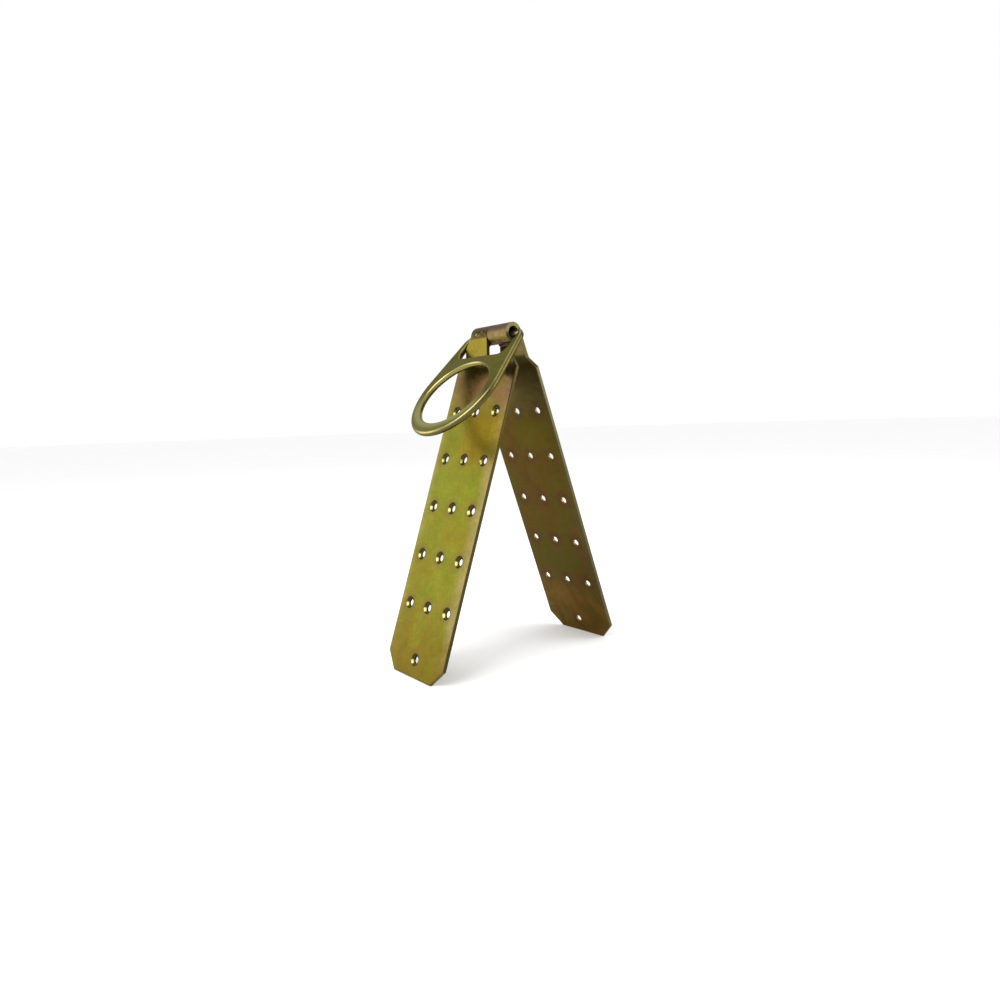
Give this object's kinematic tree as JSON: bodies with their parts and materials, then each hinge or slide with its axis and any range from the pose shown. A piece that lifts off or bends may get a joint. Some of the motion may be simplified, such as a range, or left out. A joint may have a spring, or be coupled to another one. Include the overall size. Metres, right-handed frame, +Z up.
{
  "type": "roof anchor",
  "caption": "Hinged ridge anchor: perforated plated steel legs with curled ends that open over a roof ridge, and a forged D-ring whose bar is the hinge pin.",
  "frame": {"origin": "on the ground below the middle of the hinge, midway between the two feet", "axes": "+Z up, X along the hinge line, the front leg and the D-ring towards -Y"},
  "size_m": [0.0914, 0.1826, 0.2651],
  "materials": {
    "front_leg_plating": "yellow chromate zinc plating over steel, satin",
    "back_leg_plating": "yellow chromate zinc plating over steel, satin, darker iridescent patches",
    "ring_plating": "yellow chromate zinc plating over forged steel, glossy",
    "weld_plating": "plated weld bead"
  },
  "bodies": {
    "front": {"front_leg": "front_leg_plating", "front_curl_weld": "weld_plating"},
    "back": {"back_leg": "back_leg_plating", "back_curl_weld": "weld_plating"},
    "ring": {"d_ring": "ring_plating"}
  },
  "joints": [
    {"name": "leg_fold", "type": "hinge", "parent": "front", "child": "back", "pos_m": [0, 0, 0.25742], "axis": [1, 0, 0], "range_deg": [-28, 141]},
    {"name": "ring_swing", "type": "hinge", "parent": "front", "child": "ring", "pos_m": [0, -0.0005, 0.25592], "axis": [-1, 0, 0], "range_deg": [-4, 265]}
  ]
}
